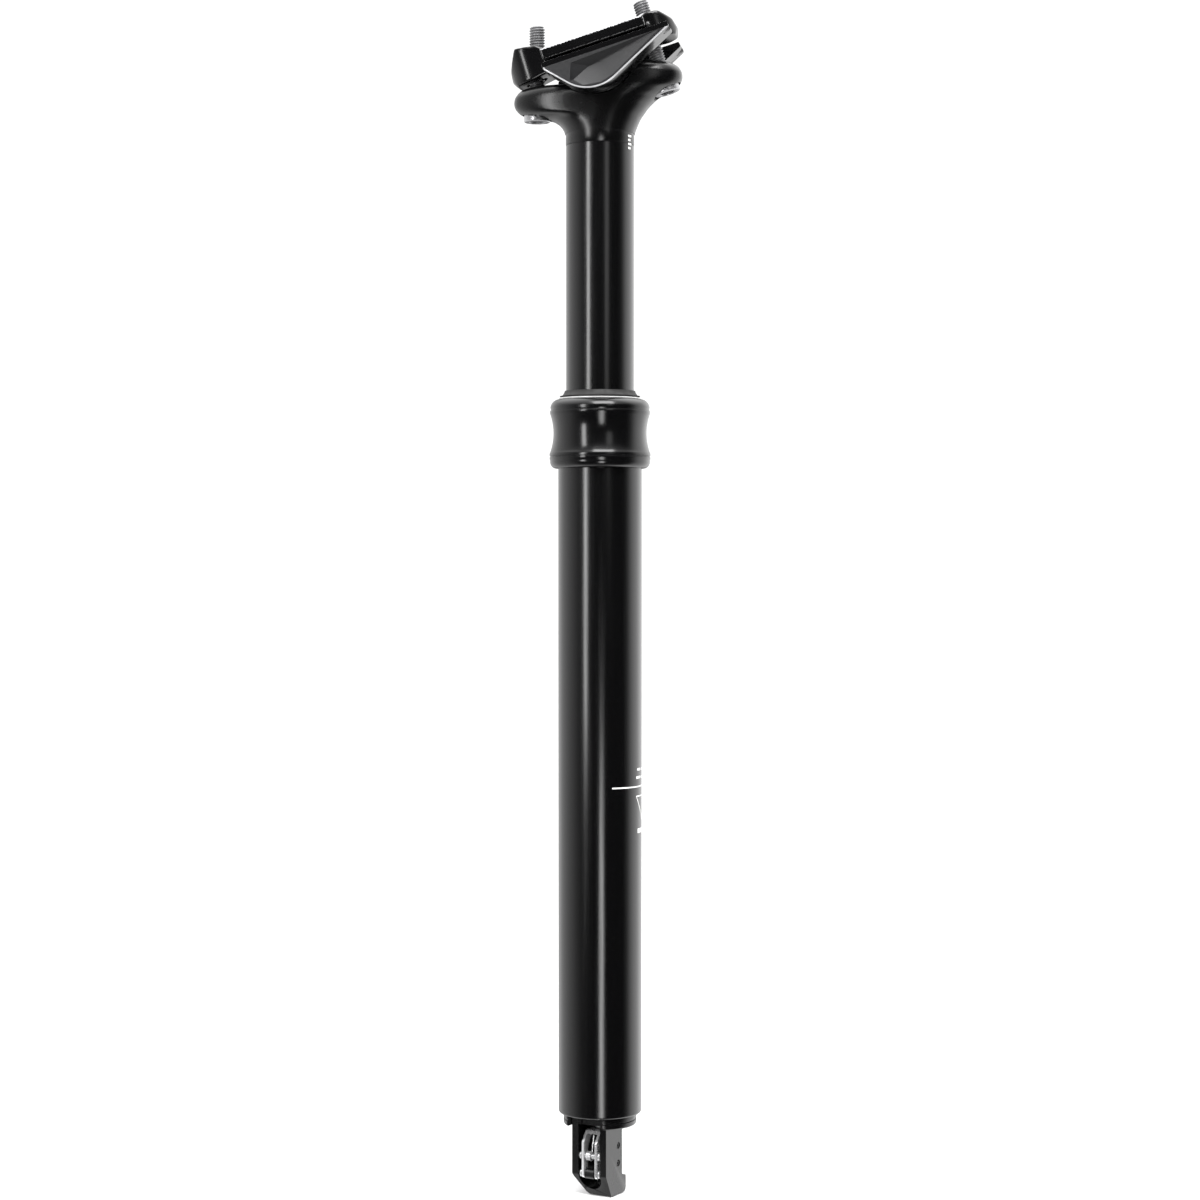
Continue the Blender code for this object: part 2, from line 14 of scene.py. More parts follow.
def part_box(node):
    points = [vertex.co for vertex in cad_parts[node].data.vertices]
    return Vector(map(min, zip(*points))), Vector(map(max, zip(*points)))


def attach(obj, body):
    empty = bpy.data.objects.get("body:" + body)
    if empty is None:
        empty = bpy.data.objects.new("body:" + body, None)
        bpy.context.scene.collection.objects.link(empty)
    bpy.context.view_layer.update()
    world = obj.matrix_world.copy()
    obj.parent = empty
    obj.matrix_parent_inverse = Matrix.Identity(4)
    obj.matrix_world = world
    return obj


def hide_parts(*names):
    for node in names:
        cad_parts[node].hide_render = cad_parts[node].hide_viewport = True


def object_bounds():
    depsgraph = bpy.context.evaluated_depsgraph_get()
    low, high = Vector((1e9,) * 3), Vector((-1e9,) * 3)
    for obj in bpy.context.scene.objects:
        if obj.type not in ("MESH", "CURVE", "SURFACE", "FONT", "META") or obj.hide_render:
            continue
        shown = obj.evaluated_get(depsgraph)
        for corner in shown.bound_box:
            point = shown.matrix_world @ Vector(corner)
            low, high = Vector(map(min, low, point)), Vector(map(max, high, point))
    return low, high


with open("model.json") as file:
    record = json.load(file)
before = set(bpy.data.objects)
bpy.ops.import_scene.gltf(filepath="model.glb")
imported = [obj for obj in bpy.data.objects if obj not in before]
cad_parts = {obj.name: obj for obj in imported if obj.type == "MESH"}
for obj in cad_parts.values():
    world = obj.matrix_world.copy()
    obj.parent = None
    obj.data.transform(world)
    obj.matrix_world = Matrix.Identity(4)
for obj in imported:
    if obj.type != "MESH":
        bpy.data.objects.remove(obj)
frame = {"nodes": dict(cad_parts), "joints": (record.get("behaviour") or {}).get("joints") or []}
cad_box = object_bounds()

MM = 0.001
ROUND_STEPS = 128
FINE_STEPS = 96
MID_STEPS = 64
SMALL_STEPS = 48
HEXAGON = 6

KEYS = 3
RAIL_OFFSET = 22.0  # from the middle to each rail
CHANNEL_RADIUS = 3.65  # for a 7 mm rail
PIN_HOLE = 1.3


def extent(node):
    """The node's lowest and highest corners in millimetres."""
    low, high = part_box(node)
    return low / MM, high / MM


def joint(name):
    return next(j for j in frame["joints"] if j["name"] == name)


# Places and directions that the frame gives
TILT_AXIS = Vector(joint("saddle_tilt")["pos_m"])
LIFT = Vector(joint("clamp_lift")["axis"])
RAIL_SLOPE = math.atan2(-LIFT.x, LIFT.z)
CAGE_SIDE = Vector(joint("release_lever_swing")["axis"])
CAGE_TURN = math.atan2(CAGE_SIDE.y, CAGE_SIDE.x)
PIVOT = Vector(joint("release_lever_swing")["pos_m"])
BARREL = Vector(joint("barrel_swivel")["pos_m"])

UPRIGHT = Matrix.Rotation(math.radians(90), 4, "X")  # a drawing's y becomes the height
ACROSS = UPRIGHT  # a turned piece lies from side to side
ALONG = Matrix.Rotation(math.radians(90), 4, "Y")
RAILS = Matrix.Translation(TILT_AXIS) @ Matrix.Rotation(-RAIL_SLOPE, 4, "Y")
RAILS_UPRIGHT = RAILS @ UPRIGHT
CAGE = Matrix.Rotation(CAGE_TURN, 4, "Z")
CAGE_FACE = CAGE @ UPRIGHT
CAGE_EDGE = CAGE @ Matrix.Rotation(math.radians(-90), 4, "Z") @ UPRIGHT
PIVOT_PIN = Matrix.Translation(PIVOT) @ CAGE.to_3x3().to_4x4() @ ALONG
BARREL_PIN = Matrix.Translation(BARREL) @ CAGE.to_3x3().to_4x4() @ ALONG


def screw_place(end):
    """Own z runs up the clamp bolt from where its washer bears on the head."""
    turn = joint(end + "_bolt_turn")
    axis = Vector(turn["axis"])
    lean = math.atan2(-axis.x, axis.z)
    return Matrix.Translation(turn["pos_m"]) @ Matrix.Rotation(-lean, 4, "Y")


def key_turn(i):
    return Matrix.Rotation(2 * math.pi * i / KEYS, 4, "Z")


def rail_place(side):
    """Own z runs along one rail."""
    return RAILS @ Matrix.Translation((0, side * RAIL_OFFSET * MM, 0)) @ ALONG


def nut_place(end):
    return Matrix.Translation(joint(end + "_nut_turn")["pos_m"]) @ ACROSS


# Mesh tools


def add(name, mesh, place=None):
    obj = bpy.data.objects.new(name, mesh)
    bpy.context.scene.collection.objects.link(obj)
    if place is not None:
        mesh.transform(place)
    return obj


def from_bmesh(name, bm, place=None):
    mesh = bpy.data.meshes.new(name)
    bmesh.ops.recalc_face_normals(bm, faces=bm.faces)
    bm.to_mesh(mesh)
    bm.free()
    return add(name, mesh, place)


def ring_vertex(bm, radius, angle, height):
    return bm.verts.new((radius * MM * math.cos(angle), radius * MM * math.sin(angle), height * MM))


def lathe(name, outline, place=None, steps=ROUND_STEPS):
    """A closed profile of (radius, height) points turned about Z."""
    bm = bmesh.new()
    rings = []
    for radius, height in outline:
        if radius <= 0:
            rings.append([bm.verts.new((0, 0, height * MM))])
            continue
        angles = [2 * math.pi * i / steps for i in range(steps)]
        rings.append([ring_vertex(bm, radius, a, height) for a in angles])
    pairs = list(zip(rings, rings[1:]))
    if outline[0][0] > 0:
        pairs.append((rings[-1], rings[0]))
    for upper, lower in pairs:
        for i in range(steps):
            corners = [upper[i % len(upper)], lower[i % len(lower)]]
            corners += [lower[(i + 1) % steps % len(lower)], upper[(i + 1) % steps % len(upper)]]
            face = list(dict.fromkeys(corners))
            if len(face) > 2:
                bm.faces.new(face)
    return from_bmesh(name, bm, place)


def tube(name, inner, outer, low, high, edge=0.25, place=None, steps=ROUND_STEPS):
    """A turned ring with small chamfers on its four corners."""
    outline = [(outer - edge, high), (outer, high - edge), (outer, low + edge), (outer - edge, low)]
    outline += [(inner + edge, low), (inner, low + edge), (inner, high - edge), (inner + edge, high)]
    return lathe(name, outline, place, steps)


def pin(name, radius, low, high, edge=0.2, place=None, steps=SMALL_STEPS):
    outline = [(0, high), (radius - edge, high), (radius, high - edge)]
    outline += [(radius, low + edge), (radius - edge, low), (0, low)]
    return lathe(name, outline, place, steps)


def prism(name, outline, low, high, place=None):
    """A flat outline of (x, y) points filled from height low to height high."""
    bm = bmesh.new()
    bottom = [bm.verts.new((x * MM, y * MM, low * MM)) for x, y in outline]
    top = [bm.verts.new((x * MM, y * MM, high * MM)) for x, y in outline]
    bm.faces.new(bottom[::-1])
    bm.faces.new(top)
    for i in range(len(outline)):
        j = (i + 1) % len(outline)
        bm.faces.new((bottom[i], bottom[j], top[j], top[i]))
    return from_bmesh(name, bm, place)


def stack(name, bm, rings, place=None):
    """Rings of equal length skinned from bottom to top and closed at both ends."""
    for lower, upper in zip(rings, rings[1:]):
        for i in range(len(lower)):
            j = (i + 1) % len(lower)
            bm.faces.new((lower[i], lower[j], upper[j], upper[i]))
    bm.faces.new(rings[0][::-1])
    bm.faces.new(rings[-1])
    return from_bmesh(name, bm, place)


def hull(name, points, place=None):
    bm = bmesh.new()
    for x, y, z in points:
        bm.verts.new((x * MM, y * MM, z * MM))
    bmesh.ops.convex_hull(bm, input=bm.verts)
    return from_bmesh(name, bm, place)


def arc(centre_x, centre_y, radius, start, end, count):
    angles = [math.radians(start + (end - start) * i / (count - 1)) for i in range(count)]
    return [(centre_x + radius * math.cos(a), centre_y + radius * math.sin(a)) for a in angles]


def oval(centre_x, centre_y, radius_x, radius_y, start, end, count):
    """Points along an ellipse between two angles."""
    circle = arc(0.0, 0.0, 1.0, start, end, count)
    return [(centre_x + radius_x * x, centre_y + radius_y * y) for x, y in circle]


def inset(outline, amount):
    """A convex outline moved inwards by the amount."""
    centre = [sum(p[k] for p in outline) / len(outline) for k in (0, 1)]
    moved = []
    for i, (x, y) in enumerate(outline):
        (ax, ay), (bx, by) = outline[i - 1], outline[(i + 1) % len(outline)]
        inward = Vector((ay - by, bx - ax)).normalized()
        if inward.dot(Vector((centre[0] - x, centre[1] - y))) < 0:
            inward = -inward
        moved.append((x + amount * inward.x, y + amount * inward.y))
    return moved


def evaluated_mesh(obj):
    bpy.context.view_layer.update()
    graph = bpy.context.evaluated_depsgraph_get()
    return bpy.data.meshes.new_from_object(obj.evaluated_get(graph))


def baked(obj):
    """Makes the object's modifiers part of its mesh."""
    mesh = evaluated_mesh(obj)
    obj.modifiers.clear()
    obj.data = mesh
    return obj


def boolean(obj, other, operation):
    modifier = obj.modifiers.new(operation, "BOOLEAN")
    modifier.operation = operation
    modifier.solver = "EXACT"
    modifier.object = other
    baked(obj)
    bpy.data.objects.remove(other, do_unlink=True)
    return obj


def cut(obj, other):
    return boolean(obj, other, "DIFFERENCE")


def join(obj, other):
    return boolean(obj, other, "UNION")


def keep_common(obj, other):
    return boolean(obj, other, "INTERSECT")


def cut_rail_channels(obj):
    for side in (-1, 1):
        cut(obj, pin("channel", CHANNEL_RADIUS, -50.0, 50.0, 0.0, rail_place(side), FINE_STEPS))


def bevelled(obj, width, segments=3, angle=35.0):
    modifier = obj.modifiers.new("Bevel", "BEVEL")
    modifier.width = width * MM
    modifier.segments = segments
    modifier.limit_method = "ANGLE"
    modifier.angle_limit = math.radians(angle)
    modifier.use_clamp_overlap = True
    return baked(obj)


def forged(obj, voxel, rounds=16):
    """Rounds every edge the way a forging die leaves it."""
    remesh = obj.modifiers.new("Remesh", "REMESH")
    remesh.mode = "VOXEL"
    remesh.voxel_size = voxel * MM
    smooth = obj.modifiers.new("Smooth", "SMOOTH")
    smooth.factor = 0.5
    smooth.iterations = rounds
    return baked(obj)


def shaded(obj, angle=35.0):
    obj.data.shade_smooth()
    obj.data.set_sharp_from_angle(angle=math.radians(angle))
    return obj


# Materials


class Shader:
    """A Principled material with short helpers for its procedural nodes."""

    def __init__(self, name, colour, roughness, metallic):
        self.material = bpy.data.materials.new(name)
        self.material.use_nodes = True
        self.tree = self.material.node_tree
        self.surface = self.tree.nodes["Principled BSDF"]
        self.surface.inputs["Base Color"].default_value = (*colour, 1.0)
        self.surface.inputs["Roughness"].default_value = roughness
        self.surface.inputs["Metallic"].default_value = metallic
        self.place = self.node("ShaderNodeTexCoord").outputs["Object"]
        self.height = None

    def node(self, kind, **settings):
        made = self.tree.nodes.new(kind)
        for key, value in settings.items():
            setattr(made, key, value)
        return made

    def noise(self, per_mm, detail=4.0, stretch=(1, 1, 1)):
        """Noise with about per_mm features in a millimetre, longer along the axes with a small stretch."""
        mapping = self.node("ShaderNodeMapping")
        mapping.inputs["Scale"].default_value = [s * per_mm / MM for s in stretch]
        self.tree.links.new(self.place, mapping.inputs["Vector"])
        made = self.node("ShaderNodeTexNoise")
        made.inputs["Scale"].default_value = 1.0
        made.inputs["Detail"].default_value = detail
        self.tree.links.new(mapping.outputs["Vector"], made.inputs["Vector"])
        return made.outputs["Fac"]

    def spread(self, value, low, high, start=0.3, end=0.7):
        ramp = self.node("ShaderNodeMapRange")
        ramp.inputs["From Min"].default_value = start
        ramp.inputs["From Max"].default_value = end
        ramp.inputs["To Min"].default_value = low
        ramp.inputs["To Max"].default_value = high
        self.tree.links.new(value, ramp.inputs["Value"])
        return ramp.outputs["Result"]

    def mix(self, value, first, second):
        blend = self.node("ShaderNodeMix", data_type="RGBA")
        blend.inputs["A"].default_value = (*first, 1.0)
        blend.inputs["B"].default_value = (*second, 1.0)
        self.tree.links.new(value, blend.inputs["Factor"])
        return blend.outputs["Result"]

    def set(self, name, value):
        self.tree.links.new(value, self.surface.inputs[name])

    def bump(self, value, height_mm):
        """Adds a bump over those already there."""
        made = self.node("ShaderNodeBump")
        made.inputs["Strength"].default_value = 1.0
        made.inputs["Distance"].default_value = height_mm * MM
        self.tree.links.new(value, made.inputs["Height"])
        if self.height:
            self.tree.links.new(self.height, made.inputs["Normal"])
        self.height = made.outputs["Normal"]
        self.set("Normal", self.height)

    def worn_edges(self, base, worn, width_mm, amount):
        """A lighter colour where an edge turns sharply, broken up by noise."""
        rounded = self.node("ShaderNodeBevel", samples=4)
        rounded.inputs["Radius"].default_value = width_mm * MM
        plain = self.node("ShaderNodeNewGeometry")
        dot = self.node("ShaderNodeVectorMath", operation="DOT_PRODUCT")
        self.tree.links.new(rounded.outputs["Normal"], dot.inputs[0])
        self.tree.links.new(plain.outputs["Normal"], dot.inputs[1])
        edge = self.spread(dot.outputs["Value"], amount, 0.0, 0.75, 1.0)
        broken = self.node("ShaderNodeMath", operation="MULTIPLY")
        self.tree.links.new(edge, broken.inputs[0])
        self.tree.links.new(self.spread(self.noise(1.2), 0.3, 1.0), broken.inputs[1])
        self.set("Base Color", self.mix(broken.outputs["Value"], base, worn))


def anodised(name, roughness, gloss=0.5, grain=0.0012):
    """Black anodising: a fine etched grain, faint cloudiness and paler handling marks on sharp edges."""
    black = (0.0018, 0.0018, 0.002)
    made = Shader(name, black, roughness, 0.0)
    made.surface.inputs["Specular IOR Level"].default_value = gloss
    cloud = made.noise(0.08, 3.0)
    made.set("Roughness", made.spread(cloud, roughness * 0.85, roughness * 1.2))
    made.worn_edges(black, (0.05, 0.05, 0.052), 0.25, 0.5)
    made.bump(made.noise(9.0, 2.0), grain)
    return made.material


def tube_black(name):
    """Drawn tube: satin black with faint lines along its length."""
    black = (0.0016, 0.0016, 0.0018)
    made = Shader(name, black, 0.2, 0.0)
    made.surface.inputs["Specular IOR Level"].default_value = 0.5
    streaks = made.noise(2.5, 3.0, (1, 1, 0.01))
    made.set("Roughness", made.spread(streaks, 0.16, 0.24))
    specks = made.spread(made.noise(1.6, 5.0), 0.0, 1.0, 0.68, 0.8)
    made.set("Base Color", made.mix(specks, black, (0.02, 0.02, 0.022)))
    made.bump(streaks, 0.0009)
    made.bump(made.noise(11.0, 2.0), 0.0007)
    return made.material


def machined(name, colour, roughness, metallic=1.0, lines=(1, 1, 14), grain=0.003):
    """Turned or drawn metal: tool lines, slight staining and scratches."""
    made = Shader(name, colour, roughness, metallic)
    tool = made.noise(0.9, 4.0, lines)
    made.set("Roughness", made.spread(tool, roughness * 0.7, roughness * 1.4))
    stain = made.noise(0.25, 4.0)
    darker = tuple(c * 0.72 for c in colour)
    made.set("Base Color", made.mix(made.spread(stain, 0.0, 1.0, 0.35, 0.7), colour, darker))
    made.bump(tool, grain)
    return made.material


def rubber(name):
    made = Shader(name, (0.012, 0.012, 0.012), 0.6, 0.0)
    made.surface.inputs["Specular IOR Level"].default_value = 0.35
    made.set("Roughness", made.spread(made.noise(0.6), 0.5, 0.72))
    made.bump(made.noise(7.0, 3.0), 0.006)
    return made.material


def polymer(name):
    made = Shader(name, (0.03, 0.045, 0.035), 0.45, 0.0)
    made.set("Roughness", made.spread(made.noise(0.8), 0.35, 0.6))
    made.set("Base Color", made.mix(made.noise(1.5, 5.0), (0.025, 0.04, 0.03), (0.05, 0.065, 0.05)))
    made.bump(made.noise(5.0), 0.004)
    return made.material


def textured_black(name):
    """The matte, bead-blasted band on the cradle's sides."""
    made = Shader(name, (0.008, 0.008, 0.009), 0.36, 0.0)
    made.surface.inputs["Specular IOR Level"].default_value = 0.5
    made.set("Roughness", made.spread(made.noise(1.0), 0.34, 0.5))
    made.bump(made.noise(4.5, 5.0), 0.02)
    return made.material


def ink(name):
    made = Shader(name, (0.78, 0.78, 0.77), 0.5, 0.0)
    thin = made.spread(made.noise(4.0, 5.0), 0.0, 1.0, 0.55, 0.8)
    made.set("Base Color", made.mix(thin, (0.8, 0.8, 0.79), (0.45, 0.45, 0.45)))
    made.bump(made.noise(8.0), 0.003)
    return made.material


TUBE_BLACK = tube_black("tube_black")
SATIN_BLACK = anodised("satin_black", 0.24)
GLOSS_BLACK = anodised("gloss_black", 0.17, 0.42, 0.0006)
BLASTED_BLACK = textured_black("blasted_black")
# Pale grey painted highlight for rounded rims: it stands in for the bright line of light those edges catch
RIM_HIGHLIGHT = machined("rim_highlight_paint", (0.42, 0.42, 0.43), 0.3, 0.2, grain=0.001)
STEEL = machined("plated_steel", (0.45, 0.45, 0.46), 0.34, 0.9, grain=0.0008)
# A darker copy of the bolt steel for the thread: painted shade standing in for the shade in the thread's
# grooves
THREAD_STEEL = machined("thread_steel", (0.2, 0.2, 0.205), 0.4, 0.6, grain=0.0002)
BRIGHT = machined("bright_pin", (0.8, 0.8, 0.81), 0.2, 0.75, (1, 1, 6), 0.0012)
SATIN_RING = machined("satin_ring", (0.62, 0.62, 0.62), 0.4, 0.4, grain=0.001)
HEAD_BLACK = anodised("head_black", 0.25, 0.42)
ALUMINIUM = machined("machined_aluminium", (0.58, 0.59, 0.6), 0.3)
BRASS = machined("brass", (0.66, 0.47, 0.19), 0.26)
RUBBER = rubber("rubber")
POLYMER = polymer("bearing_polymer")
INK = ink("marking_ink")
CRADLE_PAINTS = (GLOSS_BLACK, BLASTED_BLACK, RIM_HIGHLIGHT)
CLAMP_PAINTS = (GLOSS_BLACK, RIM_HIGHLIGHT)


def take_paints(obj, paints):
    for material in paints:
        obj.data.materials.append(material)


def piece(obj, body, material, slot, *nodes, angle=35.0):
    """A finished piece: shaded, coloured, riding on its body and standing for its CAD nodes."""
    shaded(obj, angle)
    if not obj.data.materials:
        obj.data.materials.append(material)
    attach(obj, body)
    if nodes:
        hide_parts(*nodes)
    return obj


# Lower tube, collar and wiper


def make_lower_tube():
    low, high = extent("outer_tube")
    radius, bore, mark_height = high.x, 14.1, 124.6
    rim = arc(radius - 1.0, low.z + 1.0, 1.0, 0, -90, 7)
    outline = [(radius - 0.3, high.z), (radius, high.z - 0.3)] + rim
    outline += [(bore + 0.4, low.z), (bore, low.z + 0.4), (bore, high.z - 0.3), (bore + 0.3, high.z)]
    body = lathe("lower_tube", outline)
    keyway = [(12.0, -1.8), (15.0, -1.8), (15.0, 1.8), (12.0, 1.8)]
    for i in range(KEYS):
        cut(body, prism("keyway", keyway, -170.0, -26.0, key_turn(i)))
    piece(body, "outer", TUBE_BLACK, "black_anodised", "outer_tube")
    make_insertion_marks(radius, low.z + mark_height)


MARK_SUNK = 0.02
MARK_THICKNESS = 0.03


def curved_mark(name, points, radius):
    """A printed patch on the tube, from (degrees round from the rear, height) points wrapped at a radius."""
    bm = bmesh.new()
    inner, outer = (
        [ring_vertex(bm, r, math.radians(angle), height) for angle, height in points]
        for r in (radius - MARK_SUNK, radius + MARK_THICKNESS)
    )
    count = len(points)
    half = count // 2
    for i in range(half - 1):
        j = count - 1 - i
        bm.faces.new((outer[i], outer[i + 1], outer[j - 1], outer[j]))
        bm.faces.new((inner[j], inner[j - 1], inner[i + 1], inner[i]))
    for i in range(count):
        j = (i + 1) % count
        bm.faces.new((inner[i], inner[j], outer[j], outer[i]))
    return piece(from_bmesh(name, bm), "outer", INK, "black_anodised")


def shares(start, end):
    """Even steps from 0 to 1, enough for a patch between two angles to lie on the curve."""
    count = max(2, int(abs(end - start) / 3) + 2)
    return [i / (count - 1) for i in range(count)]


def band(start, end, low, high):
    """A patch between two angles and two heights."""
    angles = [start + (end - start) * s for s in shares(start, end)]
    return [(a, low) for a in angles] + [(a, high) for a in reversed(angles)]


def slanted(start, end, height_start, height_end, width):
    """A line of this width that climbs or falls between two angles."""
    rise = height_end - height_start
    line = [(start + (end - start) * s, height_start + rise * s) for s in shares(start, end)]
    return line + [(a, h + width) for a, h in reversed(line)]


def make_insertion_marks(radius, height):
    """The insertion line on the rear of the tube: plain bars above it, an open triangle and a bar below."""
    curved_mark("insertion_line", band(-65, 65, height - 0.25, height + 0.25), radius)
    for i, (start, length) in enumerate(((-22, 14), (-4, 9), (9, 13))):
        end = start + length
        curved_mark(f"insertion_bar_{i}", band(start, end, height + 3.0, height + 3.9), radius)
        curved_mark(f"insertion_bar_low_{i}", band(start + 3, end, height + 6.0, height + 6.9), radius)
    curved_mark("insertion_arrow_top", band(-22, 22, height - 3.9, height - 3.4), radius)
    top, point = height - 4.0, height - 13.0
    curved_mark("insertion_arrow_left", slanted(-22, 0, top, point, 0.7), radius)
    curved_mark("insertion_arrow_right", slanted(0, 22, point, top, 0.7), radius)
    curved_mark("insertion_foot", band(-18, 18, height - 17.6, height - 15.9), radius)


def make_collar():
    high = extent("collar")[1]
    lip, waist, top = high.x, high.x - 1.5, high.z
    outline = [(15.2, top)] + oval(15.55, top - 3.6, 3.25, 3.6, 88, 10, 12)
    outline += [(18.6, 22.2), (18.55, 21.9), (18.8, 21.75)] + arc(18.2, 21.2, 0.72, 20, -20, 4)
    outline += [(waist + 1.25 * (2 * s - 1) ** 2, 20.6 - s * 14.6) for s in (i / 20 for i in range(21))]
    outline += [(lip - 0.02, 5.6), (lip, 5.0), (lip - 0.02, 4.75), (lip - 0.25, 4.6), (lip - 0.25, 4.35)]
    outline += [(lip - 0.02, 4.2), (lip - 0.05, 3.4)] + oval(16.7, 2.6, 2.2, 2.6, 8, -85, 9)
    outline += [(16.5, 0.0), (16.1, 0.0), (16.1, 12.4), (13.3, 12.4), (13.3, 14.0), (14.9, 14.0), (14.9, top)]
    piece(lathe("collar_body", outline, steps=160), "outer", GLOSS_BLACK, "black_gloss", "collar")
    low, high = extent("collar_ring")
    ring = tube("collar_bright_ring", 14.8, high.x + 0.1, low.z, high.z, 0.1)
    piece(ring, "outer", SATIN_RING, "silver", "collar_ring")


def make_wiper():
    high = extent("wiper")[1]
    top = high.z + 0.5
    outline = [(12.9, top - 0.4), (13.0, top), (13.35, top - 0.05), (13.5, top - 0.6), (14.0, top - 1.5)]
    outline += [(14.9, top - 2.4), (high.x, 27.3), (high.x, 27.1), (14.5, 27.0)]
    outline += [(14.5, 14.3), (13.1, 14.3), (13.1, 26.5)]
    piece(lathe("wiper_lip", outline), "outer", RUBBER, "rubber", "wiper")


# Sliding tube and what is inside


def make_sliding_tube():
    low, high = extent("stanchion")
    post = tube("sliding_tube", 11.3, high.x, low.z, high.z, 0.15)
    seat = [(11.9, -1.8), (14.0, -1.8), (14.0, 1.8), (11.9, 1.8)]
    outline = [(12.2, -1.5), (14.7, -1.5), (14.7, 1.5), (12.2, 1.5)]
    key_low, key_high = extent("key_1")
    for i in range(KEYS):
        cut(post, prism("key_seat", seat, key_low.z - 0.3, key_high.z + 0.3, key_turn(i)))
        key = prism(f"sliding_key_{i}", outline, key_low.z, key_high.z, key_turn(i))
        piece(bevelled(key, 0.4), "post", BRASS, "brass", f"key_{i + 1}")
    piece(post, "post", TUBE_BLACK, "black_anodised", "stanchion")


def make_turned_inside():
    """Bushings, seals and bumpers: plain turned rings whose bores and sizes are the frame's."""
    rings = (
        ("slide_bushing", 13.1, "post", POLYMER, "polymer"),
        ("upper_bushing", 13.1, "outer", POLYMER, "polymer"),
        ("stanchion_seal", 13.1, "outer", RUBBER, "rubber"),
        ("top_out_bumper", 5.3, "post", RUBBER, "rubber"),
        ("bottom_out_bumper", 5.3, "outer", RUBBER, "rubber"),
        ("cartridge_tube", 9.8, "post", ALUMINIUM, "aluminium"),
        ("foot_seal", 12.7, "outer", RUBBER, "rubber"),
        ("piston_seal", 8.5, "outer", RUBBER, "rubber"),
        ("gland_seal", 8.5, "post", RUBBER, "rubber"),
        ("floating_seal", 8.5, "floating", RUBBER, "rubber"),
    )
    for node, bore, body, material, slot in rings:
        low, high = extent(node)
        ring = tube(node + "_turned", bore, high.x, low.z, high.z, steps=FINE_STEPS)
        piece(ring, body, material, slot, node)
    groove, half, edge = 8.2, 1.2, 0.4
    for node, bore, body in (("main_piston", 3.8, "outer"), ("floating_piston", 0.0, "floating")):
        low, high = extent(node)
        middle = (low.z + high.z) / 2
        outline = [(high.x - edge, high.z), (high.x, high.z - edge), (high.x, middle + half)]
        outline += [(groove, middle + half), (groove, middle - half), (high.x, middle - half)]
        outline += [(high.x, low.z + edge), (high.x - edge, low.z)]
        if bore:
            outline += [(bore, low.z), (bore, high.z)]
        else:
            outline = [(0, high.z - 3.0), (5.0, high.z - 3.0), (5.4, high.z)] + outline + [(0, low.z)]
        piston = lathe(node + "_turned", outline, steps=FINE_STEPS)
        piece(piston, body, ALUMINIUM, "aluminium", node)


# Saddle clamp


# The head's reach to the front and to the rear of the post's axis, and its half width there, by height
FRONT_SHAPE = (
    (123.1, 12.8, 12.8),
    (125.5, 13.0, 12.85),
    (127.5, 13.7, 12.9),
    (129.5, 15.2, 13.0),
    (131.2, 17.8, 13.0),
    (132.2, 21.0, 13.0),
    (132.8, 27.5, 13.0),
    (134.0, 30.6, 13.0),
    (136.0, 32.4, 13.0),
    (138.0, 32.8, 13.0),
    (140.0, 32.4, 13.0),
    (142.0, 30.8, 12.6),
    (143.3, 28.5, 11.0),
    (144.0, 24.5, 8.5),
    (144.3, 6.0, 8.0),
    (152.8, 5.0, 8.0),
)
REAR_SHAPE = (
    (123.1, 12.8, 12.8),
    (126.0, 13.1, 12.85),
    (128.0, 13.8, 12.9),
    (131.7, 15.4, 13.0),
    (136.0, 18.5, 13.0),
    (139.2, 21.8, 13.0),
    (141.7, 26.0, 13.0),
    (143.0, 29.0, 13.0),
    (144.5, 30.5, 13.0),
    (146.5, 31.3, 13.0),
    (148.5, 31.2, 13.0),
    (150.5, 30.0, 12.4),
    (152.0, 27.5, 10.5),
    (152.8, 24.0, 8.5),
)


def between(table, height):
    """The table's reach and half width at a height, in a straight line between its rows."""
    for low, high in zip(table, table[1:]):
        if height <= high[0]:
            share = max(0.0, (height - low[0]) / (high[0] - low[0]))
            return [a + (b - a) * share for a, b in zip(low[1:], high[1:])]
    return table[-1][1:]


def head_blank(levels=75, count=80):
    """The forging as a stack of oblong rings, each with its own reach to the front and to the rear."""
    bottom, top = FRONT_SHAPE[0][0], FRONT_SHAPE[-1][0]
    round_reach, squareness = 12.8, 0.18
    bm = bmesh.new()
    rings = []
    for level in range(levels):
        height = bottom + (top - bottom) * level / (levels - 1)
        front, rear = between(FRONT_SHAPE, height), between(REAR_SHAPE, height)
        ring_of = []
        for x, y in arc(0.0, 0.0, 1.0, 0, 360 * (count - 1) / count, count):
            reach, half_width = rear if x > 0 else front
            power = 1.0 - squareness * min(1.0, (reach - round_reach) / 10.0)
            along = reach * math.copysign(abs(x) ** power, x)
            across = half_width * math.copysign(abs(y) ** power, y)
            ring_of.append(bm.verts.new((along * MM, across * MM, height * MM)))
        rings.append(ring_of)
    return stack("forged_head", bm, rings)


